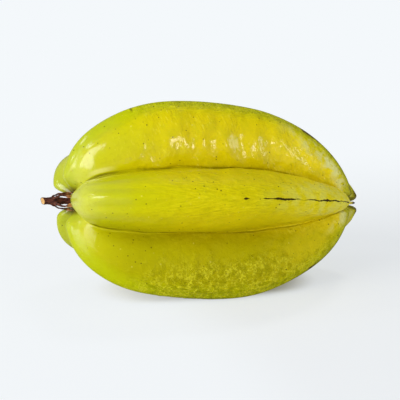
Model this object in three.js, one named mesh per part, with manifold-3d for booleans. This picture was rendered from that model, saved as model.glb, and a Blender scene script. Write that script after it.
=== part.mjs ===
import * as THREE from 'three';
import { mergeVertices } from 'three/addons/utils/BufferGeometryUtils.js';
import Module from 'manifold-3d';

// A whole star fruit (carambola) as picked, lying on two of its five ribs.
// Lengths are in mm and angles in degrees. The fruit's axis runs along +X, from the stalk to the tip.

const wasm = await Module();
wasm.setup();

const radians = THREE.MathUtils.degToRad;

// The five ribs, going round from the front one. Direction is measured from straight forward (-Y)
// up through +Z. Crest is the rib's greatest distance from the axis, at x = widest. The shoulder
// and the point are how far the rib reaches towards the stalk and the tip, and blunt is how its
// outline closes there: a low value is square, a high one pointed. Plump is the rib's share of the
// usual plumpness, and tipPlump is how plump it is at the tip.
const RIBS = [
  {
    direction: 17, crest: 38.2, shoulder: -55.8, point: 54.9, widest: -6,
    blunt: [0.14, 0.6], plump: 0.45, tipPlump: 0.5,
  },
  {
    direction: 90, crest: 38.2, shoulder: -57.2, point: 56.6, widest: -6.5,
    blunt: [0.31, 0.6], plump: 1, tipPlump: 0.9,
  },
  {
    direction: 156, crest: 38, shoulder: -58.6, point: 60, widest: -6.5,
    blunt: [0.31, 0.45], plump: 1, tipPlump: 1.7,
  },
  {
    direction: 234, crest: 38, shoulder: -57.4, point: 60.2, widest: -6,
    blunt: [0.31, 0.49], plump: 1, tipPlump: 1.6,
  },
  {
    direction: 306, crest: 38.2, shoulder: -56.4, point: 55.6, widest: -5,
    blunt: [0.325, 0.59], plump: 1, tipPlump: 0.9,
  },
];

// The grooves between the ribs are alike. They wind a little round the axis along the fruit.
const GROOVE = { depthLine: 20.2, widest: -12.5, winding: 4.5, blunt: [0.21, 0.56] };

// The usual plumpness of a rib, at shares of the way from its widest place to the shoulder, which
// count as negative, and to the point.
const PLUMPNESS = [[-1, 0.3], [-0.98, 0.8], [-0.87, 1], [-0.36, 0.75], [0.36, 0.7], [0.82, 0.35]];
const TIP_BEGINS = 0.96;

// The hollow round the stalk, and the small one between the rib ends at the tip.
const STALK_HOLLOW = { floor: -51, radius: 10 };
const TIP_HOLLOW = { floor: 53.6, radius: 4.2 };

// The fruit lies a little tip down, and its flesh is flattened where its two lowest ribs bear.
const TIP_DOWN = 4.2;
const FLATTENING = 0.5;

// The stalk: a neck, the swelling that carried the flower, and the column that stands in the hollow.
const NECK = { cutEnd: -64, radius: 1.3 };
const SWELLING = { start: -61.3, widest: -59.6, end: -58.2, radius: 1.6 };
const COLUMN = { shoulder: -53, foot: -51.5, radius: 1.2, footRadius: 0.9 };

// A dried sepal's strip, and the places on its middle line where it springs, bows out and ends.
const SEPAL = {
  width: 1.3, thickness: 0.45,
  root: { x: -60.2, r: 2.15 }, bow: { x: -57, r: 2.6 }, tip: { x: -52.4, r: 3.4 },
};

// The dry style is a blunt point: its sides run from the shoulder to just short of its end.
const STYLE = { base: 54, shoulder: 54.8, radius: 0.75, endRadius: 0.4, sidesEnd: 57.6, end: 57.9 };

// Mesh fineness.
const STATIONS_PER_END = 26;
const STEPS_PER_HALF_RIB = 6;
const ROUND_STEPS = 16;
const SEPAL_STEPS = 8;
const SLAB = { side: 200, depth: 20 };

// Distance along and from the axis on one lengthwise outline, and the share of the way to its end.
// Station runs from -1 at the stalk, through 0 at the widest place, to 1 at the tip.
function outline(station, ends, widest, radius, blunt) {
  const half = station < 0 ? 0 : 1;
  const reach = Math.cos(Math.PI / 2 * (1 - Math.abs(station)) ** 1.5);
  return {
    x: widest + (ends[half] - widest) * reach,
    r: radius * (1 - reach * reach) ** blunt[half],
    share: half ? reach : -reach,
  };
}

// How far a point at distance r from the axis is sunk into a hollow of that radius.
function sunk(r, hollowRadius) {
  return Math.max(0, 1 - (r / hollowRadius) ** 2) ** 2;
}

function crestOutline(rib, station) {
  const p = outline(station, [rib.shoulder, rib.point], rib.widest, rib.crest, rib.blunt);
  if (station < 0) p.x += (STALK_HOLLOW.floor - rib.shoulder) * sunk(p.r, STALK_HOLLOW.radius);
  else p.x += (TIP_HOLLOW.floor - rib.point) * sunk(p.r, TIP_HOLLOW.radius);
  return p;
}

function grooveOutline(station) {
  const ends = [STALK_HOLLOW.floor, TIP_HOLLOW.floor];
  return outline(station, ends, GROOVE.widest, GROOVE.depthLine, GROOVE.blunt);
}

// How plump a rib is at a share of the way along it.
function plumpnessAt(rib, share) {
  const usual = PLUMPNESS.map(([at, value]) => [at, value * rib.plump]);
  const table = [...usual, [TIP_BEGINS, rib.tipPlump], [1, rib.tipPlump]];
  const next = Math.max(1, table.findIndex(([at]) => at >= share));
  const [from, to] = [table[next - 1], table[next]];
  return THREE.MathUtils.mapLinear(share, from[0], to[0], from[1], to[1]);
}

// Angle from one rib's crest to the groove on the side where the next rib is.
function halfWidth(rib, next) {
  const turn = THREE.MathUtils.euclideanModulo(next.direction - rib.direction + 180, 360) - 180;
  return turn / 2;
}

// Share of the rise from groove to crest, at a place across the rib: 0 on the crest, 1 in the groove.
function riseAcross(across, plumpness) {
  const wave = (1 + Math.cos(Math.PI * across)) / 2;
  return THREE.MathUtils.lerp(wave, 1 - across * across, plumpness);
}

// A point of the skin. Across runs from -1 to 1 over one rib, from groove to groove.
function skinPoint(index, across, station) {
  const rib = RIBS[index];
  const neighbour = RIBS.at((index + Math.sign(across)) % RIBS.length);
  const crest = crestOutline(rib, station);
  const groove = grooveOutline(station);
  const rise = riseAcross(across, plumpnessAt(rib, crest.share));
  const x = THREE.MathUtils.lerp(groove.x, crest.x, rise);
  const r = THREE.MathUtils.lerp(groove.r, crest.r, rise);
  const winding = GROOVE.winding * Math.abs(across) * groove.x / TIP_HOLLOW.floor;
  const angle = radians(rib.direction + halfWidth(rib, neighbour) * Math.abs(across) + winding);
  return [x, -r * Math.cos(angle), r * Math.sin(angle)];
}

// The closed skin: one point in each hollow, and rings of points between them.
function fruitGeometry() {
  const positions = [STALK_HOLLOW.floor, 0, 0, TIP_HOLLOW.floor, 0, 0];
  const rings = 2 * STATIONS_PER_END - 1;
  const around = 2 * STEPS_PER_HALF_RIB * RIBS.length;
  for (let ring = 1; ring <= rings; ring++) {
    const station = ring / STATIONS_PER_END - 1;
    for (let index = 0; index < RIBS.length; index++) {
      for (let step = -STEPS_PER_HALF_RIB; step < STEPS_PER_HALF_RIB; step++) {
        positions.push(...skinPoint(index, step / STEPS_PER_HALF_RIB, station));
      }
    }
  }
  const at = (ring, step) => 2 + ring * around + step % around;
  const triangles = [];
  for (let step = 0; step < around; step++) {
    triangles.push(0, at(0, step), at(0, step + 1));
    triangles.push(1, at(rings - 1, step + 1), at(rings - 1, step));
    for (let ring = 0; ring < rings - 1; ring++) {
      triangles.push(at(ring, step), at(ring + 1, step), at(ring + 1, step + 1));
      triangles.push(at(ring, step), at(ring + 1, step + 1), at(ring, step + 1));
    }
  }
  const geometry = new THREE.BufferGeometry();
  geometry.setAttribute('position', new THREE.Float32BufferAttribute(positions, 3));
  geometry.setIndex(triangles);
  return geometry;
}

function toSolid(geometry) {
  const bare = geometry.clone();
  bare.deleteAttribute('normal');
  bare.deleteAttribute('uv');
  const merged = mergeVertices(bare);
  const vertProperties = new Float32Array(merged.attributes.position.array);
  const triVerts = new Uint32Array(merged.index.array);
  return new wasm.Manifold(new wasm.Mesh({ numProp: 3, vertProperties, triVerts }));
}

function fromSolid(solid) {
  const mesh = solid.getMesh();
  const geometry = new THREE.BufferGeometry();
  geometry.setAttribute('position', new THREE.BufferAttribute(mesh.vertProperties, 3));
  geometry.setIndex(new THREE.BufferAttribute(mesh.triVerts, 1));
  return geometry;
}

// Cuts the bearing flats: all that is lower than the surface when the fruit lies tilted on it.
function flattenUnderside(geometry, lie) {
  const lying = geometry.clone().applyMatrix4(lie);
  lying.computeBoundingBox();
  const surfaceZ = lying.boundingBox.min.z + FLATTENING;
  const slab = new THREE.BoxGeometry(SLAB.side, SLAB.side, SLAB.depth);
  slab.translate(0, 0, surfaceZ - SLAB.depth / 2);
  slab.applyMatrix4(lie.clone().invert());
  const cut = toSolid(geometry).subtract(toSolid(slab));
  return fromSolid(cut);
}

function stalkGeometry() {
  return turned([
    [0, NECK.cutEnd],
    [NECK.radius, NECK.cutEnd],
    [NECK.radius, SWELLING.start],
    [SWELLING.radius, SWELLING.widest],
    [COLUMN.radius, SWELLING.end],
    [COLUMN.radius, COLUMN.shoulder],
    [COLUMN.footRadius, COLUMN.foot],
    [0, COLUMN.foot],
  ]);
}

function styleGeometry() {
  return turned([
    [0, STYLE.base],
    [STYLE.radius, STYLE.shoulder],
    [STYLE.endRadius, STYLE.sidesEnd],
    [0, STYLE.end],
  ]);
}

// A round piece about the fruit's axis, from its [radius, x] profile.
function turned(profile) {
  const points = profile.map(([r, x]) => new THREE.Vector2(r, x));
  const geometry = new THREE.LatheGeometry(points, ROUND_STEPS);
  return geometry.rotateZ(-Math.PI / 2);
}

// One dried sepal: a narrow strip that springs from the swelling, bows out and ends in the hollow.
function sepalGeometry() {
  const path = new THREE.CatmullRomCurve3([
    new THREE.Vector3(SEPAL.root.x, 0, SEPAL.root.r),
    new THREE.Vector3(SEPAL.bow.x, 0, SEPAL.bow.r),
    new THREE.Vector3(SEPAL.tip.x, 0, SEPAL.tip.r),
  ]);
  const section = new THREE.Shape();
  section.absellipse(0, 0, SEPAL.thickness / 2, SEPAL.width / 2, 0, 2 * Math.PI);
  return new THREE.ExtrudeGeometry(section, {
    extrudePath: path,
    steps: SEPAL_STEPS,
    curveSegments: 4,
  });
}

const skin = new THREE.MeshStandardMaterial({ color: 0xc8be14, roughness: 0.35 });
const wood = new THREE.MeshStandardMaterial({ color: 0x4a251a, roughness: 0.8 });
const driedLeaf = new THREE.MeshStandardMaterial({ color: 0x7a4526, roughness: 0.8 });
const driedTip = new THREE.MeshStandardMaterial({ color: 0x2e2413, roughness: 0.9 });

function piece(name, geometry, material) {
  const mesh = new THREE.Mesh(geometry, material);
  mesh.name = name;
  return mesh;
}

const lie = new THREE.Matrix4().makeRotationY(radians(TIP_DOWN));
const pieces = new THREE.Group();
pieces.rotation.y = radians(TIP_DOWN);
pieces.add(piece('fruit', flattenUnderside(fruitGeometry(), lie), skin));
pieces.add(piece('stem', stalkGeometry(), wood));
pieces.add(piece('style_remnant', styleGeometry(), driedTip));
RIBS.forEach((rib, index) => {
  const next = RIBS[(index + 1) % RIBS.length];
  const sepal = piece(`sepal_${index + 1}`, sepalGeometry(), driedLeaf);
  sepal.rotation.x = Math.PI / 2 - radians(rib.direction + halfWidth(rib, next));
  pieces.add(sepal);
});

// The origin is the middle of the underside of the whole object's box.
const box = new THREE.Box3().setFromObject(pieces, true);
const middle = box.getCenter(new THREE.Vector3());
pieces.position.set(-middle.x, -middle.y, -box.min.z);
const group = new THREE.Group();
group.add(pieces);

export default group;
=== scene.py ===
import math

import bpy
import numpy as np
from mathutils import Matrix, Vector, noise


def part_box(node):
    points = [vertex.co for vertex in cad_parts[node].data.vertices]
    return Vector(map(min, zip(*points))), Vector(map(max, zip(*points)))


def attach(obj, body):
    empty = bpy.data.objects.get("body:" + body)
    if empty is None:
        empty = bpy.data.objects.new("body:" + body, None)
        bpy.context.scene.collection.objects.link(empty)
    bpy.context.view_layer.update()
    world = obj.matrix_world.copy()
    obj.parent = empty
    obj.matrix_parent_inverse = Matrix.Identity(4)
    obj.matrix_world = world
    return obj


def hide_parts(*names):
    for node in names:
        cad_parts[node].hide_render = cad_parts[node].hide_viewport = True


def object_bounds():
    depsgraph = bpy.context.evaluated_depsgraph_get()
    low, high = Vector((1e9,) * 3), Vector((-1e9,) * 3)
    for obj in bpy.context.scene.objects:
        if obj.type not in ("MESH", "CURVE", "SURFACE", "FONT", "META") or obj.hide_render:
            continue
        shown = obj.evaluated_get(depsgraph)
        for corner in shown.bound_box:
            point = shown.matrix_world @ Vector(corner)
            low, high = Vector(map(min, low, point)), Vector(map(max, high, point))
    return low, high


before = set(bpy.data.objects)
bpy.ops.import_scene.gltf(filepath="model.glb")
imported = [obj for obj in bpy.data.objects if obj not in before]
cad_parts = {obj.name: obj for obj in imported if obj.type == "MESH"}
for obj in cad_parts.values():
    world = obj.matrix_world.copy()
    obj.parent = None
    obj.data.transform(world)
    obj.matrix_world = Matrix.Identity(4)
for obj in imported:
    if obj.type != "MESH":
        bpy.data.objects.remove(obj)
cad_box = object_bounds()

mm = 0.001


# ---- Camera ------------------------------------------------------------------------------------
# A long lens, a little above the fruit and round towards its stalk end, so that the cut face of the
# stalk shows. It aims a little below the object's middle and to the stalk side of it.

camera_distance = 650 * mm
camera_turn = math.radians(-16)
camera_height = math.radians(15)
camera_roll = math.radians(0.42)
camera_lens = 156.4
camera_sensor = 36
aim_stalkward = 2.2 * mm
aim_below_middle = 2.25 * mm

low, high = cad_box
aim = (low + high) / 2 - Vector((aim_stalkward, 0, aim_below_middle))
towards_camera = Vector((
    math.sin(camera_turn) * math.cos(camera_height),
    -math.cos(camera_turn) * math.cos(camera_height),
    math.sin(camera_height),
))
camera_data = bpy.data.cameras.new("camera")
camera_data.lens = camera_lens
camera_data.sensor_width = camera_sensor
camera = bpy.data.objects.new("camera", camera_data)
camera.location = aim + towards_camera * camera_distance
facing = towards_camera.to_track_quat("Z", "Y").to_matrix()
camera.rotation_euler = (facing @ Matrix.Rotation(camera_roll, 3, "Z")).to_euler()
bpy.context.collection.objects.link(camera)
bpy.context.scene.camera = camera


# ---- Fruit -------------------------------------------------------------------------------------
# One berry with five ribs, skin and flesh grown as one piece. Its ribs are plump and round at the
# stalk end and keener towards the tip, and each has its own small unevenness. It lies a little tip
# down on its two lowest ribs, whose flesh is flattened where it bears.

# The ribs, going round from the front one. Lengths are in mm. Direction is in degrees from straight
# forward up over the top. Crest is the rib's greatest distance from the axis, at widest along it.
# Blunt is how its outline closes at the stalk and at the tip, from 0, square, to 1, pointed. Plump
# is its share of the usual plumpness, and end_plump and tip_plump are how plump it is at the
# shoulder and at the tip. Sway is how far its crest swells and sinks in waves along it.
ribs = [
    dict(direction=17, crest=38.2, shoulder=-55.8, point=54.9, widest=-6, blunt=(0.14, 0.6),
         plump=0.45, end_plump=0.6, tip_plump=0.5, sway=0.2, sway_top=10),
    dict(direction=90, crest=38.2, shoulder=-57.2, point=56.6, widest=-6.5, blunt=(0.31, 0.6),
         plump=1, end_plump=0.4, tip_plump=0.9, sway=0.6, sway_top=31),
    dict(direction=156, crest=38, shoulder=-58.6, point=60, widest=-6.5, blunt=(0.31, 0.45),
         plump=1, end_plump=0.4, tip_plump=1.7, sway=0.4, sway_top=-14),
    dict(direction=234, crest=38, shoulder=-57.4, point=60.2, widest=-6, blunt=(0.31, 0.49),
         plump=1, end_plump=0.4, tip_plump=1.6, sway=0.3, sway_top=20),
    dict(direction=306, crest=38.2, shoulder=-56.4, point=55.6, widest=-5, blunt=(0.325, 0.59),
         plump=1, end_plump=0.4, tip_plump=0.9, sway=0.45, sway_top=17),
]
sway_length = 55
groove_radius, groove_widest, groove_winding = 20.2, -12.5, 4.5
groove_bluntness = (0.17, 0.56)
stalk_hollow, stalk_hollow_radius = -51, 10
tip_hollow, tip_hollow_radius = 53.6, 4.2
tip_down = math.radians(4.2)

# Where a rib's plumpness is set, in shares of the way from its widest place to the shoulder, which
# count as negative, and to the point. The middle four have the usual plumpness.
plump_at = [-0.98, -0.87, -0.5, 0.36, 0.82, 0.96]
usual_plumpness = np.array([0.7, 0.75, 0.7, 0.35])

# How finely the skin is divided, along the fruit and over half a rib. Steps are shorter at the
# crests and grooves.
rings_each_end = 115
steps_half_rib = 43
closer_at_edges = 0.5

# Stands on the other ribs for the distance beside the front crest.
not_on_front = 99


def outline(station, ends, widest, radius, bluntness):
    """Distance along and from the axis, and share of the way from the widest place to the end.

    Stations run from -1 at the stalk to 1 at the tip, and the share is negative at the stalk end.
    """
    reach = np.sin(np.pi / 2 * np.abs(station))
    end = np.where(station < 0, ends[0], ends[1])
    power = np.where(station < 0, bluntness[0], bluntness[1])
    along = widest + (end - widest) * reach
    return along, radius * (1 - reach * reach) ** power, np.sign(station) * reach


def half_width(rib, neighbour):
    """Angle in degrees from a rib's crest to the groove on its neighbour's side."""
    return ((neighbour["direction"] - rib["direction"] + 180) % 360 - 180) / 2


def rib_skin(index, station, across):
    """Skin of one rib in the fruit's own frame: its points, and its rise from groove to crest."""
    rib = ribs[index]
    x, r, share = outline(station, (rib["shoulder"], rib["point"]), rib["widest"], rib["crest"],
                          rib["blunt"])
    r = r * (1 + rib["sway"] / rib["crest"]
             * np.cos(2 * np.pi * (x - rib["sway_top"]) / sway_length))
    sunk_stalk = np.clip(1 - (r / stalk_hollow_radius) ** 2, 0, 1) ** 2
    sunk_tip = np.clip(1 - (r / tip_hollow_radius) ** 2, 0, 1) ** 2
    x = x + np.where(station < 0, (stalk_hollow - rib["shoulder"]) * sunk_stalk,
                     (tip_hollow - rib["point"]) * sunk_tip)
    groove_x, groove_r, _ = outline(station, (stalk_hollow, tip_hollow), groove_widest,
                                    groove_radius, groove_bluntness)
    bulges = [rib["end_plump"], *usual_plumpness * rib["plump"], rib["tip_plump"]]
    plump = np.interp(share, plump_at, bulges)
    wave = (1 + np.cos(np.pi * across)) / 2
    rise = wave + (1 - across**2 - wave) * plump
    x = groove_x + (x - groove_x) * rise
    r = groove_r + (r - groove_r) * rise
    left = half_width(rib, ribs[index - 1])
    right = half_width(rib, ribs[(index + 1) % len(ribs)])
    turn = np.where(across < 0, left, right) * np.abs(across)
    winding = groove_winding * np.abs(across) * groove_x / tip_hollow
    angle = np.radians(rib["direction"] + turn + winding)
    return np.stack([x, -r * np.cos(angle), r * np.sin(angle)], -1), rise


def beside_crest(points):
    """Distance over the skin from a rib's crest, less than 0 on its lower-numbered side."""
    steps = np.linalg.norm(np.diff(points, axis=1), axis=2)
    walked = np.concatenate([np.zeros((len(points), 1)), np.cumsum(steps, 1)], 1)
    return walked - walked[:, steps_half_rib:steps_half_rib + 1]


def fruit_skin():
    """The closed skin in the fruit's own frame: points, faces, and what is known at each point."""
    station = np.linspace(-1, 1, 2 * rings_each_end + 1)[1:-1, None]
    across = np.arange(-steps_half_rib, steps_half_rib)[None, :] / steps_half_rib
    across = across - closer_at_edges * np.sin(2 * np.pi * across) / (2 * np.pi)
    points, rise, beside = [], [], []
    for index in range(len(ribs)):
        rib_points, rib_rise = rib_skin(index, station, across)
        points.append(rib_points)
        rise.append(rib_rise)
        beside.append(beside_crest(rib_points))
    others = [np.full_like(distances, not_on_front) for distances in beside[1:]]
    beside_front = np.concatenate([beside[0], *others], 1)
    to_groove = np.concatenate([np.abs(b).max(1, keepdims=True) - np.abs(b) for b in beside], 1)
    points, rise = np.concatenate(points, 1), np.concatenate(rise, 1)
    beside = np.abs(np.concatenate(beside, 1))
    rings, around = rise.shape
    hollows = [[stalk_hollow, 0, 0], [tip_hollow, 0, 0]]
    here = len(hollows) + np.arange(rings)[:, None] * around + np.arange(around)[None, :]
    there = np.roll(here, -1, 1)
    faces = np.stack([here[:-1], here[1:], there[1:], there[:-1]], -1).reshape(-1, 4).tolist()
    faces += [[0, a, b] for a, b in zip(here[0], there[0])]
    faces += [[1, b, a] for a, b in zip(here[-1], there[-1])]
    known = dict(rise=rise, beside=beside, to_groove=to_groove, beside_front=beside_front)
    known = {name: np.concatenate([[0, 0], values.reshape(-1)]) for name, values in known.items()}
    return np.concatenate([hollows, points.reshape(-1, 3)]), faces, known


def mesh_piece(name, points, faces):
    """A smooth-shaded object of these points, in metres in the frame."""
    mesh = bpy.data.meshes.new(name)
    mesh.from_pydata(points.tolist(), [], faces)
    mesh.shade_smooth()
    piece = bpy.data.objects.new(name, mesh)
    bpy.context.collection.objects.link(piece)
    return piece


def mark(piece, name, values):
    """Writes one value or vector per vertex, for the piece's finish to read."""
    values = np.asarray(values, np.float32)
    kind = "FLOAT_VECTOR" if values.ndim == 2 else "FLOAT"
    layer = piece.data.attributes.new(name, kind, "POINT")
    layer.data.foreach_set("vector" if values.ndim == 2 else "value", values.reshape(-1))


def lumps(points, size, seed):
    """Soft random heights from about -1 to 1 at each point, in lumps of about this size."""
    offset = Vector((seed * 7.3, seed * -3.1, seed * 5.7))
    return np.array([noise.noise(Vector(p) + offset) for p in (points / size).tolist()])


def eased(values, start, end):
    """0 before start, 1 after end, and smooth between."""
    t = np.clip((values - start) / (end - start), 0, 1)
    return t * t * (3 - 2 * t)


own, skin_faces, known = fruit_skin()
tilt = np.array(Matrix.Rotation(tip_down, 3, "Y"))
stalk_low, stalk_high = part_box("stem")
stalk_middle = np.array([-57.75, 0, 0])
own_origin = np.array((stalk_low + stalk_high) / 2) / mm - tilt @ stalk_middle


def laid_down(points):
    """Places points of the fruit's own frame, in mm, where the fruit lies, in metres."""
    return (points @ tilt.T + own_origin) * mm


fruit = mesh_piece("fruit_skin", laid_down(own), skin_faces)
normals = np.zeros(len(own) * 3, np.float32)
fruit.data.vertex_normals.foreach_get("vector", normals)
normals = normals.reshape(-1, 3) @ tilt

# A dark corky scar runs along the front crest, with a dot of it further back.
scar_x = [0.8, 1.2, 2.1, 2.5, 7.5, 9, 12.5, 14, 17, 20, 22, 24, 27.5, 30, 35, 37, 39, 42, 44, 51, 52]
scar_thickness = [0, 0.9, 0.9, 0, 0, 0.25, 0.3, 0.75, 0.9, 0.6, 0.3,
                  0.16, 0.16, 0.35, 0.4, 0.85, 0.4, 0.5, 0.25, 0.3, 0]

# Heights and lengths of the relief, in mm. The flanks ripple across the rib, the underside is
# pimpled, and a fine crease runs along each groove. The crests carry a bead with a gutter on each
# side, which are small on the front rib and flatten towards the tip.
broad_height, broad_length = 0.4, 20
ripple_height, ripple_length = 1.3, 5.6
fine_ripple_height, fine_ripple_length = 0.12, 2
ripple_bow, ripple_bow_top = 24, 32
front_ripple_share = 0.35
dimple_height, dimple_length = 0.15, 2.4
fine_dimple_height, fine_dimple_length = 0.12, 1.3
pimple_height, pimple_length = 0.3, 2.6
fine_pimple_height, fine_pimple_length = 0.35, 1.5
crease_depth, crease_width = 0.3, 0.7
bead_height, bead_width = 0.8, 2.2
gutter_depth, gutter_width, gutter_from_crest = 0.35, 1.8, 5
bead_lift = 0.2
front_bead_size = 0.8
groove_sway, groove_sway_length = 0.9, 9

along, from_axis = own[:, 0], np.hypot(own[:, 1], own[:, 2])
downward = -own[:, 2]
on_front = np.abs(known["beside_front"]) < not_on_front
ripe_end = eased(along, -40, -22)
stalk_end = 1 - eased(along, -42, -12)
off_crest = eased(known["beside"], 2, 7)
lowness = eased(downward + 6 * lumps(own, 14, 4), 8, 24) * eased(along, -44, -6)
facing_down = eased(downward, 3, 10) * eased(along, -60, -32)

broad = broad_height * lumps(own, broad_length, 1)
bowed = along - (from_axis - ripple_bow_top) ** 2 / ripple_bow
across_rib = np.stack([bowed, own[:, 1] * 0.4, own[:, 2] * 0.4], -1)
ripples = (ripple_height * lumps(across_rib, ripple_length, 2)
           + fine_ripple_height * lumps(across_rib, fine_ripple_length, 3))
on_flank = np.clip(4 * known["rise"] * (1 - known["rise"]), 0, 1)
ripples = ripples * on_flank * ripe_end
ripples = ripples * (1 - 0.6 * eased(downward, 0, 12)) * np.where(on_front, front_ripple_share, 1)
dimples = (dimple_height * lumps(own, dimple_length, 12)
           + fine_dimple_height * lumps(own, fine_dimple_length, 13)) * eased(along, -52, -26)
pimples = (fine_pimple_height * lumps(own, fine_pimple_length, 5)
           + pimple_height * lumps(own, pimple_length, 6)) * lowness
fine_relief = (dimples + pimples) * off_crest
crease = -crease_depth * np.exp(-(known["to_groove"] / crease_width) ** 2) * eased(along, -50, -10)

bead_size = np.where(on_front, front_bead_size, 1) * (0.5 + 0.5 * stalk_end)
from_crest = known["beside"] / bead_size
bead = (bead_height * (np.exp(-(from_crest / bead_width) ** 2) - 1)
        - gutter_depth * np.exp(-((from_crest - gutter_from_crest) / gutter_width) ** 2))
bead = bead * bead_size * (0.4 + 0.8 * stalk_end)
bead = bead * np.where(on_front, eased(along, -56, -50), eased(along, -60, -46)) + bead_lift

# The relief stands out from the skin, the grooves sway a little round the fruit, and nothing goes
# below the surface that the fruit lies on.
moved = own + normals * (broad + ripples + fine_relief + crease + bead)[:, None]
round_about = np.stack([0 * along, -own[:, 2], own[:, 1]], -1) / np.maximum(from_axis, 1)[:, None]
sway = groove_sway * lumps(own, groove_sway_length, 10) * (1 - known["rise"]) ** 2 * ripe_end
moved += round_about * sway[:, None]
laid = laid_down(moved)
laid[:, 2] = np.maximum(laid[:, 2], 0)
fruit.data.vertices.foreach_set("co", laid.astype(np.float32).reshape(-1))
fruit.data.update()
mark(fruit, "own", own)
mark(fruit, "lowness", lowness)
mark(fruit, "facing_down", facing_down)
mark(fruit, "scar_half", np.interp(along, scar_x, scar_thickness) / 2)
for name, values in known.items():
    mark(fruit, name, values)


class Wire:
    """One socket of a finish's nodes. Sums of wires and numbers add Math nodes."""

    def __init__(self, finish, socket):
        self.finish = finish
        self.socket = socket

    def work_out(self, operation, first, second):
        return self.finish.node("ShaderNodeMath", {"operation": operation}, {0: first, 1: second})

    def __add__(self, other):
        return self.work_out("ADD", self, other)

    def __sub__(self, other):
        return self.work_out("SUBTRACT", self, other)

    def __rsub__(self, other):
        return self.work_out("SUBTRACT", other, self)

    def __mul__(self, other):
        return self.work_out("MULTIPLY", self, other)

    __radd__ = __add__
    __rmul__ = __mul__


class Finish:
    """A material under construction."""

    def __init__(self, name):
        self.material = bpy.data.materials.new(name)
        self.material.use_nodes = True
        self.tree = self.material.node_tree
        self.tree.nodes.clear()

    def node(self, kind, settings=(), sockets=(), output=0):
        """Adds a node: its settings first, then the values or wires of its sockets."""
        made = self.tree.nodes.new(kind)
        for name, value in dict(settings).items():
            setattr(made, name, value)
        for name, value in dict(sockets).items():
            if isinstance(value, Wire):
                self.tree.links.new(value.socket, made.inputs[name])
            else:
                made.inputs[name].default_value = value
        return Wire(self, made.outputs[output]) if made.outputs else None

    def marked(self, name, output="Fac"):
        """What was written on the piece's vertices under this name."""
        return self.node("ShaderNodeAttribute", {"attribute_name": name}, output=output)

    def parts(self, vector):
        """The three numbers of a vector."""
        split = self.node("ShaderNodeSeparateXYZ", {}, {0: vector}).socket.node
        return [Wire(self, socket) for socket in split.outputs]

    def vector(self, x, y, z):
        return self.node("ShaderNodeCombineXYZ", {}, {0: x, 1: y, 2: z})

    def absolute(self, wire):
        return self.node("ShaderNodeMath", {"operation": "ABSOLUTE"}, {0: wire})

    def fade(self, wire, start, end):
        """0 before start, 1 after end, and smooth between."""
        return self.node("ShaderNodeMapRange", {"interpolation_type": "SMOOTHSTEP"},
                         {"Value": wire, "From Min": start, "From Max": end})

    def band(self, wire, start, full, still_full, end):
        """0 before start, 1 from full to still_full, 0 after end, and smooth between."""
        return self.fade(wire, start, full) * (1 - self.fade(wire, still_full, end))

    def mix(self, mask, under, over):
        """The colour under, covered by the colour over where the mask is 1."""
        return self.node("ShaderNodeMix", {"data_type": "RGBA"},
                         {"Factor": mask, 6: under, 7: over}, output=2)

    def mottle(self, place, size, detail=2.0, seed=0.0):
        """Cloudy values from 0 to 1, in patches of about this size."""
        moved = self.node("ShaderNodeVectorMath", {"operation": "ADD"},
                          {0: place, 1: (seed * 31.0, seed * 17.0, seed * 23.0)})
        return self.node("ShaderNodeTexNoise", {},
                         {"Vector": moved, "Scale": 1 / size, "Detail": detail})

    def dots(self, place, spacing, size):
        """1 in small round dots, about one to each spacing, and 0 between them."""
        away = self.node("ShaderNodeTexVoronoi", {}, {"Vector": place, "Scale": 1 / spacing})
        return 1 - self.fade(away * spacing, size * 0.6, size)

    def net(self, place, size, width):
        """1 on thin wandering lines round cells of about this size, and 0 inside them."""
        wander = self.node("ShaderNodeTexNoise", {}, {"Vector": place, "Scale": 0.9 / size},
                           output="Color")
        bent = self.node("ShaderNodeVectorMath", {"operation": "MULTIPLY_ADD"},
                         {0: wander, 1: (size * 4, size * 4, size * 4), 2: place})
        to_edge = self.node("ShaderNodeTexVoronoi", {"feature": "DISTANCE_TO_EDGE"},
                            {"Vector": bent, "Scale": 1 / size})
        return 1 - self.fade(to_edge * size, width * 0.3, width)

    def bump(self, height, strength, distance):
        """A normal that leans as if the surface rose by this distance where the height is 1."""
        return self.node("ShaderNodeBump", {},
                         {"Height": height, "Strength": strength, "Distance": distance})

    def shader(self, **sockets):
        """A Principled shader with these sockets, named with underscores for spaces."""
        named = {name.replace("_", " "): value for name, value in sockets.items()}
        return self.node("ShaderNodeBsdfPrincipled", {}, named)

    def finish_with(self, **sockets):
        """Ends in one Principled shader."""
        return self.end(self.shader(**sockets))

    def end(self, surface):
        self.node("ShaderNodeOutputMaterial", {}, {"Surface": surface})
        return self.material


def srgb(red, green, blue):
    """A colour given in the 0 to 255 steps of a colour chart, as the shader's linear one."""
    steps = [value / 255 for value in (red, green, blue)]
    linear = [s / 12.92 if s <= 0.04045 else ((s + 0.055) / 1.055) ** 2.4 for s in steps]
    return (*linear, 1.0)


# The skin's finish. Its lengths are in mm.
pore_spacing, pore_size = 3.0, 0.42
speck_spacing, speck_size = 2.8, 0.33
net_cell, net_line = 2.4, 0.42
dash_size, wrinkle_size = 0.9, 0.65

skin = Finish("waxy_skin")
place = skin.marked("own", "Vector")
lift = skin.marked("rise")
beside = skin.marked("beside")
to_groove = skin.marked("to_groove")
beside_front = skin.marked("beside_front")
low_down = skin.marked("lowness")
underside = skin.marked("facing_down")
scar_half = skin.marked("scar_half")
x, y, z = skin.parts(place)
from_front = skin.absolute(beside_front)
behind_front = skin.fade(from_front, 60, 90)

clouds = skin.mottle(place, 15)
small_clouds = skin.mottle(place, 4, 3.0, 1)
fine = skin.mottle(place, 1.1, 3.0, 2)
uneven = small_clouds - 0.5

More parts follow.
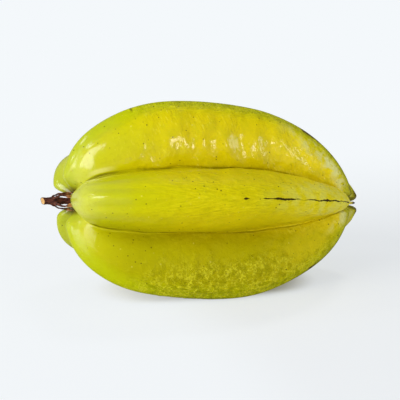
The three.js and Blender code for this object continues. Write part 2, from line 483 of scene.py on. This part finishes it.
# Colour, from green at the stalk end to gold, greener along the crests and deeper in the grooves.
# Underneath it is darker, which is painted shade.
young_green = srgb(194, 196, 6)
ripe_gold = srgb(214, 198, 2)
tip_gold_and_painted_light = srgb(240, 222, 24)
shoulder_painted_light = srgb(224, 228, 110)
cloud_gold = srgb(200, 194, 2)
shaded_olive = srgb(156, 153, 0)
crest_green = srgb(178, 190, 2)
groove_gold = srgb(200, 184, 0)
groove_painted_shadow = srgb(138, 130, 0)

ripeness = skin.fade(x + (clouds - 0.5) * 30, -56, -8)
flesh = skin.mix(ripeness, young_green, ripe_gold)
# Painted light: the tip side is lighter gold, partly its ripeness and partly light painted on that
# side.
flesh = skin.mix(skin.fade(x, 10, 35) * 0.8, flesh, tip_gold_and_painted_light)
# Painted light: the shoulders at the stalk end are painted paler, as if lit from the stalk side.
flesh = skin.mix((1 - skin.fade(x, -57, -46)) * 0.5, flesh, shoulder_painted_light)
flesh = skin.mix(skin.fade(small_clouds, 0.45, 0.75) * 0.5, flesh, cloud_gold)
# Painted shade: the underside is darkened to olive, less so towards the tip.
painted_underside_shade = underside * (1 - skin.fade(x, 5, 40) * 0.4)
flesh = skin.mix(painted_underside_shade * 0.8, flesh, shaded_olive)
crest_band = 1 - skin.fade(beside + uneven * 5, 1.5, 9)
flesh = skin.mix(crest_band * (0.25 + behind_front * 0.5), flesh, crest_green)
in_groove = 1 - skin.fade(lift, 0.0, 0.45)
flesh = skin.mix(in_groove * 0.6 * ripeness, flesh, groove_gold)
# Painted shadow: grooves on the underside of the other ribs darken as if shaded by the rib above.
flesh = skin.mix(in_groove * underside * behind_front * 0.55, flesh, groove_painted_shadow)

# A dark line of painted shade runs along the crease of each groove and comes and goes, and a painted
# highlight lies on its lip towards the tip.
crease_painted_shade = srgb(124, 114, 0)
lip_painted_highlight = srgb(222, 212, 50)

crease_line = 1 - skin.fade(to_groove, 0.1, 0.55)
crease_shows = skin.fade(skin.mottle(place, 8, 1.0, 8), 0.3, 0.6)
crease_strength = crease_shows * (0.6 - skin.fade(x, 15, 40) * 0.3)
flesh = skin.mix(crease_line * crease_strength, flesh, crease_painted_shade)
lip = skin.band(to_groove, 0.4, 0.8, 0.8, 1.4) * skin.fade(x, -10, 20)
flesh = skin.mix(lip * crease_shows * 0.5, flesh, lip_painted_highlight)

# Feathery wrinkles run close beside the crests and meet them towards the tip.
wrinkle_pale = srgb(226, 216, 24)
wrinkle_dark = srgb(140, 138, 2)

slant = skin.vector(x * 0.18, x * 0.16 + beside * 1.1 + small_clouds * 0.7, z * 0.05)
feather = skin.mottle(slant, wrinkle_size, 2.0, 7)
feathered = (1 - skin.fade(beside + (clouds - 0.5) * 10, 5, 11)) * skin.fade(x, -48, -12)
flesh = skin.mix(skin.fade(feather, 0.54, 0.66) * feathered * 0.5, flesh, wrinkle_pale)
flesh = skin.mix((1 - skin.fade(feather, 0.36, 0.46)) * feathered * 0.2, flesh, wrinkle_dark)

# Short pale and dark dashes lean across the ripe flanks, in patches.
dash_pale = srgb(234, 226, 70)
dash_dark = srgb(168, 158, 0)

leaning = skin.vector(x * 1.1 + z * 0.4, y * 0.35, z * 0.35)
dashes = skin.mottle(leaning, dash_size, 2.0, 11)
dash_patches = skin.fade(skin.mottle(place, 7, 1.0, 12), 0.42, 0.62)
dashed = ripeness * (1 - underside) * behind_front * dash_patches
flesh = skin.mix(skin.fade(dashes, 0.58, 0.7) * dashed * 0.55, flesh, dash_pale)
flesh = skin.mix((1 - skin.fade(dashes, 0.3, 0.42)) * dashed * 0.4, flesh, dash_dark)

# The rough underside, and fainter the crests, are netted: pale ridges between olive patches. The
# pale ridges are partly the skin's own and partly painted glints.
patch_olive = srgb(140, 142, 0)
net_pale_and_glints = srgb(212, 210, 44)
grain_olive = srgb(176, 170, 0)
pore_and_glint_pale = srgb(238, 230, 100)

rough = skin.fade(low_down + crest_band * ripeness * behind_front * 0.6 + uneven * 0.9, 0.1, 0.8)
net = skin.net(place, net_cell, net_line)
patches = skin.mottle(place, 2.4, 2.0, 9)
flesh = skin.mix(rough * skin.fade(patches, 0.45, 0.62) * 0.35, flesh, patch_olive)
flesh = skin.mix(net * rough * (1 - skin.fade(patches, 0.45, 0.6)) * 0.65, flesh, net_pale_and_glints)
flesh = skin.mix(skin.fade(fine, 0.52, 0.75) * 0.3, flesh, grain_olive)
# Pale pores, partly the skin's own lenticels and partly painted glints.
pores = skin.dots(place, pore_spacing, pore_size) * skin.fade(small_clouds, 0.45, 0.65)
flesh = skin.mix(pores * 0.42, flesh, pore_and_glint_pale)

# Towards the tip, bloom lies beside the crests, pale of itself and with a painted sheen on it, and
# their edges are dark and dry. The rib ends are withered, and brown round the remains of the style.
bloom_and_sheen_white = srgb(228, 229, 146)
beside_scar_pale = srgb(226, 226, 104)
tip_olive = srgb(190, 188, 60)
edge_olive = srgb(108, 112, 12)
withered_brown = srgb(96, 76, 44)
rim_brown = srgb(88, 66, 34)

tip_end = skin.fade(x, 18, 44)
bloom_band = (skin.fade(beside, 2.5, 4.5)
              * (1 - skin.fade(beside + (clouds - 0.5) * 6, 7, 11)))
bloom_patches = skin.fade(small_clouds + (fine - 0.5) * 0.2, 0.4, 0.6)
bloom = bloom_band * tip_end * bloom_patches * (0.3 + behind_front * 0.7) * (1 - underside)
# Painted sheen: the bloom is painted near white, partly its own pale and partly sheen.
flesh = skin.mix(bloom * 0.92, flesh, bloom_and_sheen_white)
beside_scar = (1 - skin.fade(from_front, 2, 8)) * skin.fade(x, 4, 30)
flesh = skin.mix(beside_scar * skin.fade(small_clouds, 0.35, 0.6) * 0.5, flesh, beside_scar_pale)
flesh = skin.mix(skin.fade(x, 50, 55) * 0.5, flesh, tip_olive)
edge = ((1 - skin.fade(beside + uneven * 3, 0.4, 1.0 + tip_end * 1.8))
        * skin.fade(small_clouds + tip_end * 0.3, 0.35, 0.75))
flesh = skin.mix(edge * behind_front * skin.fade(x, -20, 10) * 0.65, flesh, edge_olive)
withered = (1 - skin.fade(beside + uneven * 3, 0.4, 1.4)) * skin.fade(x, 51, 56)
flesh = skin.mix(withered * 0.4, flesh, withered_brown)
rib_end_rim = skin.fade(x + uneven * 2, 58.4, 59.6)
flesh = skin.mix(rib_end_rim * 0.7, flesh, rim_brown)

# Round the stalk the hollow is brown in the middle, partly its own brown and partly painted shade of
# the crevice, and the creases that run into it carry painted shade, with a painted highlight on the
# lip above.
hollow_brown_and_shade = srgb(84, 58, 20)
stalk_crease_painted_shade = srgb(92, 84, 6)
stalk_lip_painted_highlight = srgb(236, 232, 140)

in_hollow = (1 - skin.fade(x, -50, -46)) * (1 - skin.fade(y * y + z * z, 16, 50))
# Painted shade: the crevice round the stalk is darkened brown, with some brown of its own.
flesh = skin.mix(in_hollow * 0.85, flesh, hollow_brown_and_shade)
stalk_crease = (1 - skin.fade(to_groove, 0.15, 0.5)) * (1 - skin.fade(x, -48, -36))
# Painted shade in the creases at the stalk end.
flesh = skin.mix(stalk_crease * 0.6, flesh, stalk_crease_painted_shade)
stalk_lip = skin.band(to_groove, 0.5, 1.1, 1.8, 2.8) * skin.band(x, -51, -47, -45, -39)
# Painted highlight on the lip above the stalk creases.
flesh = skin.mix(stalk_lip * skin.fade(z, 2, 8) * 0.6, flesh, stalk_lip_painted_highlight)

# Specks, brown nicks on two crests, and the dark scar along the front crest.
speck_brown = srgb(60, 46, 6)
nick_brown = srgb(72, 50, 22)
scar_brown = srgb(36, 22, 6)

speckled = skin.fade(skin.mottle(place, 18, 1.0, 3), 0.3, 0.55)
specks = skin.dots(place, speck_spacing, speck_size) * speckled
flesh = skin.mix(specks * 0.8, flesh, speck_brown)
long_nick = skin.band(x, 31.5, 33.5, 39, 41)
short_nick = skin.band(x, -34, -33.6, -33.2, -32.8) * 0.7
low_nick = skin.band(x, 34.5, 35.5, 37.5, 38.5)
on_top = skin.fade(z, 14, 18) * (1 - skin.fade(skin.absolute(y), 8, 12))
on_low_front = skin.fade(z * -1, 10, 14) * (1 - skin.fade(y, -10, -6))
nicks = ((1 - skin.fade(beside + uneven * 5, 1.2, 2.6))
         * (long_nick * on_top + low_nick * on_low_front + short_nick * on_top))
flesh = skin.mix(nicks * 0.85, flesh, nick_brown)
wander = (skin.mottle(place, 5, 2.0, 4) - 0.5) * 1.2
from_scar = skin.absolute(beside_front + wander + 0.3)
scar = skin.fade(scar_half + (fine - 0.5) * 0.5 - from_scar, -0.08, 0.08)
scar = scar * skin.fade(scar_half, 0.03, 0.1)
flesh = skin.mix(scar * 0.97, flesh, scar_brown)

# Fine relief: the wrinkles, dashes, pores and rough underside. The wax lies smoother over them.
texture_depth = 0.6 * mm

texture = (fine * (0.5 + rough * 0.3) + small_clouds * 1.2 + dashes * dashed * 1.3
           + feather * feathered * 1.2 + net * rough * 1.1 + patches * rough * 1.6
           + pores * 0.3 - crease_line * 0.4 - scar * 0.3)
bump = skin.bump(texture * (0.25 + ripeness * 0.75), 0.6, texture_depth)
smoother = (fine * 0.3 + small_clouds * 1.4 + dashes * dashed * 0.5 + feather * feathered * 0.6
            + net * rough * 0.5 - crease_line * 0.4)
wax_bump = skin.bump(smoother * (0.15 + ripeness * 0.85), 0.25, texture_depth)

# The skin is waxy and shines on its upper flanks and round its stalk end, but hardly at all where
# it is rough, dry or bloomed, in the grooves, along the crests and on most of the front rib.
near_front_crest = 1 - skin.fade(from_front + (clouds - 0.5) * 6, 13, 21)
dull_front = near_front_crest * skin.fade(x, -32, -14)
below_front_crest = skin.fade(beside_front * -1, 1, 4)
near_crest = (1 - skin.fade(beside, 6, 15)) * skin.fade(x, -44, -36)
clean = (1 - underside * 0.97) * (1 - bloom * 0.6) * (1 - scar)
away_from_crests = ((1 - near_crest * 0.95) * (1 - dull_front * 0.8)
                    * (1 - below_front_crest * 0.5))
along_fruit = (1 - skin.fade(x, -41, -27) * 0.48) * (1 - skin.fade(x, 25, 40) * 0.5)
upper = 0.25 + skin.fade(z, -14, 0) * 0.75
shine = (clean * away_from_crests * along_fruit * upper * skin.fade(to_groove, 0.4, 2.0)
         * (0.5 + small_clouds))
flesh_look = dict(Base_Color=flesh, Subsurface_Weight=0.1, Subsurface_Radius=(1.0, 0.8, 0.1),
                  Subsurface_Scale=0.003)
matt = skin.shader(Roughness=0.5, Specular_IOR_Level=0.05, Normal=bump, **flesh_look)
waxy = skin.shader(Roughness=0.15, IOR=1.9, Specular_Tint=(0.44, 0.44, 0.44, 1), Normal=wax_bump,
                   **flesh_look)
fruit.data.materials.append(skin.end(
    skin.node("ShaderNodeMixShader", {}, {0: shine, 1: matt, 2: waxy})))
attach(fruit, "root")
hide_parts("fruit")


# ---- Stalk -------------------------------------------------------------------------------------
# The woody stalk that the fruit hung from: a short neck, the swelling that carried the flower, and
# the column that stands in the hollow. It was cut off aslant, which shows its pale wood and pith.

stalk_outline_x = [-64, -62.6, -61.2, -60.2, -59.2, -58, -56, -54, -52, -50.8]
stalk_outline_r = [1.3, 1.2, 1.35, 1.62, 1.66, 1.35, 1.15, 1.25, 1.3, 1.4]
cut_slant = -0.4
cut_dish = 0.12
slant_ends = -61.5
stalk_rings = 90
stalk_sides = 56
face_rings = 8


def ring_faces(rings, sides):
    """Quads of a tube of rings, numbered ring by ring."""
    here = np.arange(rings)[:, None] * sides + np.arange(sides)[None, :]
    there = np.roll(here, -1, 1)
    return np.stack([here[:-1], there[:-1], there[1:], here[1:]], -1).reshape(-1, 4).tolist()


def capped(points, rings, sides):
    """A tube's points and faces with a point added in the middle of each end."""
    first, last = rings * sides, rings * sides + 1
    ends = [points[:sides].mean(0), points[-sides:].mean(0)]
    faces = ring_faces(rings, sides)
    for side in range(sides):
        following = (side + 1) % sides
        faces.append([first, following, side])
        faces.append([last, (rings - 1) * sides + side, (rings - 1) * sides + following])
    return np.concatenate([points, ends]), faces


turn = np.linspace(0, 2 * np.pi, stalk_sides, endpoint=False)[None, :]
stalk_x = np.linspace(stalk_outline_x[0], stalk_outline_x[-1], stalk_rings)[:, None]
stalk_r = np.interp(stalk_x, stalk_outline_x, stalk_outline_r)
ridges = 0.05 * np.sin(5 * turn + 0.6 * stalk_x) + 0.04 * np.sin(11 * turn - 0.4 * stalk_x)
stalk_r = stalk_r * (1 + ridges)
stalk = np.stack([stalk_x + 0 * turn, -stalk_r * np.cos(turn), stalk_r * np.sin(turn)], -1)
stalk = stalk.reshape(-1, 3)
stalk_grain = np.stack([stalk[:, 0] * 0.35, stalk[:, 1], stalk[:, 2]], -1)
knobs = 1 + 0.09 * lumps(stalk_grain, 0.9, 11) + 0.07 * lumps(stalk, 0.5, 12)
stalk[:, 1:] *= knobs[:, None]
near_cut = 1 - eased(stalk[:, 0], stalk_outline_x[0], slant_ends)
stalk[:, 0] += cut_slant * (stalk[:, 1] + 0.3 * stalk[:, 2]) * near_cut

# The cut face is made of rings that shrink to the pith, a little hollow in the middle.
shrink = np.linspace(0.04, 1, face_rings, endpoint=False)[:, None, None]
rim = stalk[:stalk_sides]
cut_face = rim.mean(0) + (rim - rim.mean(0))[None] * shrink
cut_face[:, :, 0] += cut_dish * (1 - shrink[:, :, 0] ** 2)
on_face = np.repeat(1 - shrink[:, 0], stalk_sides)
on_bark = np.zeros(len(stalk))
on_caps = [1, 0]
stalk = np.concatenate([cut_face.reshape(-1, 3), stalk])
stalk_points, stalk_faces = capped(stalk, face_rings + stalk_rings, stalk_sides)
stem = mesh_piece("woody_stem", laid_down(stalk_points), stalk_faces)
mark(stem, "own", stalk_points)
mark(stem, "cut", np.concatenate([on_face, on_bark, on_caps]))

bark_dark = srgb(48, 22, 16)
bark_red = srgb(108, 56, 40)
bark_blotch = srgb(74, 34, 26)
wood_tan = srgb(206, 150, 88)
wood_pale = srgb(240, 202, 134)
pith_brown = srgb(150, 96, 52)

bark = Finish("stalk_bark")
place = bark.marked("own", "Vector")
cut = bark.marked("cut")
x, y, z = bark.parts(place)
grain = bark.mottle(bark.vector(x * 0.3, y, z), 0.45, 3.0)
blotches = bark.mottle(place, 1.4, 2.0, 1)
wood = bark.mix(bark.fade(grain, 0.35, 0.65), bark_dark, bark_red)
wood = bark.mix(bark.fade(blotches, 0.45, 0.7) * 0.6, wood, bark_blotch)
fresh = bark.mix(bark.mottle(place, 0.35, 2.0, 2), wood_tan, wood_pale)
fresh = bark.mix(bark.fade(cut, 0.78, 0.95), fresh, pith_brown)
wood = bark.mix(bark.fade(cut, 0.08, 0.2), wood, fresh)
stem.data.materials.append(bark.finish_with(
    Base_Color=wood, Roughness=0.7, Specular_IOR_Level=0.25, Normal=bark.bump(grain, 0.8, 0.2 * mm)))
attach(stem, "root")
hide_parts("stem")


# ---- Dried sepals ------------------------------------------------------------------------------
# Five strips of the dried calyx. Each springs from the swelling over a groove, bows out beside the
# column, and ends ragged against the fruit in the hollow. They are brown, and paler at their ends.

sepal_x = [-60.6, -59.6, -58, -56, -54.4, -52.4]
sepal_from_axis = [1.4, 1.9, 2.75, 2.95, 3.0, 3.3]
sepal_widths = [0.8, 1.4, 0.95, 0.75, 1.6, 1.3]
sepal_thickness = 0.55
sepal_trough = 0.2
sepal_twist, sepal_drift, sepal_bow = 0.5, 0.35, 0.15
crumple_height, crumple_size = 0.14, 0.8
sepal_rings = 60
sepal_sides = 20

dry_dark = srgb(52, 24, 17)
dry_brown = srgb(112, 60, 40)
dry_tan = srgb(150, 88, 40)
dry_pale = srgb(206, 146, 84)

dry = Finish("dried_sepal")
place = dry.marked("own", "Vector")
along_sepal = dry.marked("along")
x, y, z = dry.parts(place)
fibres = dry.mottle(dry.vector(x * 0.25, y, z), 0.4, 3.0)
leaf = dry.mix(dry.fade(fibres, 0.35, 0.65), dry_dark, dry_brown)
pale_end = dry.mix(dry.fade(fibres, 0.3, 0.7), dry_tan, dry_pale)
leaf = dry.mix(dry.fade(along_sepal + (dry.mottle(place, 1.2) - 0.5) * 0.5, 0.55, 0.85), leaf, pale_end)
dried_sepal = dry.finish_with(Base_Color=leaf, Roughness=0.65, Specular_IOR_Level=0.3,
                              Normal=dry.bump(fibres, 0.8, 0.15 * mm))

for index, rib in enumerate(ribs):
    share = np.linspace(0, 1, sepal_rings)[:, None]
    x = np.interp(share, np.linspace(0, 1, len(sepal_x)), sepal_x)
    from_axis = np.interp(x, sepal_x, sepal_from_axis)
    wide = np.interp(x, sepal_x, sepal_widths) / 2 * (1 - 0.6 * eased(share, 0.93, 1))
    thick = sepal_thickness / 2 * (1 - 0.5 * eased(share, 0.8, 1))
    around = np.linspace(0, 2 * np.pi, sepal_sides, endpoint=False)[None, :]
    across = wide * np.cos(around)
    out = thick * np.sin(around) + sepal_trough * np.cos(around) ** 2 * wide
    twist = sepal_twist * np.sin(2.6 * share * np.pi + 1.7 * index)
    drift = sepal_drift * np.sin(3.1 * share * np.pi + 2.3 * index) * eased(share, 0.1, 0.5)
    sideways = across * np.cos(twist) - out * np.sin(twist) + drift
    outward = (from_axis + across * np.sin(twist) + out * np.cos(twist)
               + sepal_bow * np.sin(5 * share + index))
    angle = math.radians(rib["direction"] + half_width(rib, ribs[(index + 1) % len(ribs)]))
    strip = np.stack([x + 0 * across, -outward * math.cos(angle) - sideways * math.sin(angle),
                      outward * math.sin(angle) - sideways * math.cos(angle)], -1).reshape(-1, 3)
    crumple = np.stack([lumps(strip, crumple_size, 20 + axis) for axis in range(3)], -1)
    free = np.repeat(eased(share[:, 0], 0.02, 0.2), sepal_sides)
    strip = strip + crumple_height * crumple * free[:, None]
    strip_points, strip_faces = capped(strip, sepal_rings, sepal_sides)
    name = f"sepal_{index + 1}"
    sepal = mesh_piece(f"dried_{name}", laid_down(strip_points), strip_faces)
    mark(sepal, "own", strip_points)
    mark(sepal, "along", np.concatenate([np.repeat(share[:, 0], sepal_sides), [0, 1]]))
    sepal.data.materials.append(dried_sepal)
    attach(sepal, "root")
    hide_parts(name)


# ---- Remains of the style ----------------------------------------------------------------------
# The dry point that the flower's style left in the hollow at the tip, pale where it springs from
# the fruit and dark at its end.

style_x = [53.9, 54.3, 55.2, 56.4, 57.4, 57.9]
style_r = [0.5, 0.75, 0.62, 0.5, 0.42, 0.2]
style_ridges, style_bend = 0.12, 0.12
style_knobs, style_knob_size = 0.12, 0.5
style_rings, style_sides = 40, 24

share = np.linspace(0, 1, style_rings)[:, None]
x = style_x[0] + (style_x[-1] - style_x[0]) * share
turn = np.linspace(0, 2 * np.pi, style_sides, endpoint=False)[None, :]
r = np.interp(x, style_x, style_r) * (1 + style_ridges * np.sin(5 * turn + x))
bend = style_bend * np.sin(2 * x)
point = np.stack([x + 0 * turn, -r * np.cos(turn) + bend, r * np.sin(turn)], -1).reshape(-1, 3)
point[:, 1:] *= (1 + style_knobs * lumps(point, style_knob_size, 31))[:, None]
style_points, style_faces = capped(point, style_rings, style_sides)
style = mesh_piece("dry_style", laid_down(style_points), style_faces)
mark(style, "own", style_points)
mark(style, "along", np.concatenate([np.repeat(share[:, 0], style_sides), [0, 1]]))

style_pale = srgb(208, 192, 70)
style_dark = srgb(50, 34, 16)

tip = Finish("dried_style")
place = tip.marked("own", "Vector")
roughened = tip.mottle(place, 0.4, 3.0)
to_end = tip.fade(tip.marked("along") + (roughened - 0.5) * 0.3, 0.6, 0.85)
style.data.materials.append(tip.finish_with(
    Base_Color=tip.mix(to_end, style_pale, style_dark), Roughness=0.7,
    Normal=tip.bump(roughened, 0.7, 0.1 * mm)))
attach(style, "root")
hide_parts("style_remnant")


# ---- Floor and light ---------------------------------------------------------------------------
# A white sweep in a white room, with a large soft light at the stalk side and small ones all round,
# which give the wax its highlights. The camera sees the sweep and the room white, and the fruit's
# shadow faint. Lengths here are in metres.

paper_white = srgb(245, 249, 252)
lit_white = (0.87, 0.88, 0.9, 1)
painted_bounce_yellow = (0.9, 0.82, 0.45, 1)
lamp_grey = (0.75, 0.75, 0.75, 1)
room_light = 0.32

corners = np.array([[-3, -3, 0], [3, -3, 0], [3, 6, 0], [-3, 6, 0]])
floor = mesh_piece("floor", corners, [[0, 1, 2, 3]])
paper = Finish("white_sweep")
seen = paper.node("ShaderNodeLightPath", output="Is Camera Ray")
aside, behind, _ = paper.parts(paper.node("ShaderNodeNewGeometry", output="Position"))

# Close under the fruit the sweep is painted yellow, as painted bounce light from the fruit, and near it
# the shadow shows most.
under_fruit = ((1 - paper.fade(aside * aside * 0.4 + behind * behind, 0.0003, 0.0008))
               * paper.fade(behind, -0.021, -0.013)
               * (0.6 + paper.fade(aside, -0.01, 0.02) * 0.4))
near_fruit = ((1 - paper.fade(behind, 0.03, 0.2))
              * (1 - paper.fade(aside * aside + behind * behind, 0.04, 0.3)))
shadow_shows = near_fruit * (0.14 + paper.fade(aside, -0.03, 0.01) * 0.18) + under_fruit * 0.5
# Painted bounce: the sweep's colour close under the fruit is yellow.
seen_white = paper.mix(under_fruit, lit_white, painted_bounce_yellow)
lit = paper.node("ShaderNodeBsdfDiffuse", {}, {"Color": paper.mix(seen, lamp_grey, seen_white)})
glow = paper.node("ShaderNodeEmission", {}, {"Color": paper_white, "Strength": 1.0})
floor.data.materials.append(paper.end(
    paper.node("ShaderNodeMixShader", {}, {0: seen * (0.98 - shadow_shows), 1: lit, 2: glow})))

world = bpy.data.worlds.new("studio")
world.use_nodes = True
bpy.context.scene.world = world
room = world.node_tree
room.nodes.clear()
white_room = room.nodes.new("ShaderNodeMixShader")
room.links.new(room.nodes.new("ShaderNodeLightPath").outputs["Is Camera Ray"], white_room.inputs[0])
for side, strength in ((1, room_light), (2, 1.0)):
    sky = room.nodes.new("ShaderNodeBackground")
    sky.inputs["Color"].default_value = paper_white
    sky.inputs["Strength"].default_value = strength
    room.links.new(sky.outputs[0], white_room.inputs[side])
room.links.new(white_room.outputs[0], room.nodes.new("ShaderNodeOutputWorld").inputs[0])


def softbox(name, direction, distance, width, tall, radiance, colour=(1, 1, 1)):
    """A soft light of this width and height, in this direction from the fruit, which it faces."""
    data = bpy.data.lights.new(name, "AREA")
    data.shape = "RECTANGLE"
    data.size = width
    data.size_y = tall
    data.energy = radiance * math.pi * width * tall
    data.color = colour
    lamp = bpy.data.objects.new(name, data)
    away = Vector(direction).normalized()
    lamp.location = aim + away * distance
    lamp.rotation_euler = away.to_track_quat("Z", "Y").to_euler()
    bpy.context.collection.objects.link(lamp)


softbox("window", (-0.81, -0.42, 0.34), 1.0, 0.56, 0.82, 5.6)
softbox("second_window", (0.34, -0.89, 0.1), 1.0, 0.2, 0.2, 18, (1, 0.86, 0.82))
softbox("ceiling", (0.3, 0.35, 0.9), 1.2, 0.22, 0.22, 14)
softbox("far_wall", (0.85, -0.55, 0.15), 1.5, 0.42, 0.42, 6)
softbox("near_wall", (-1, 0.1, 0.35), 1.0, 0.18, 0.18, 6)
softbox("high_window", (-0.75, 0.2, 0.75), 1.0, 0.17, 0.17, 5.5)

bpy.context.scene.view_settings.view_transform = "Standard"
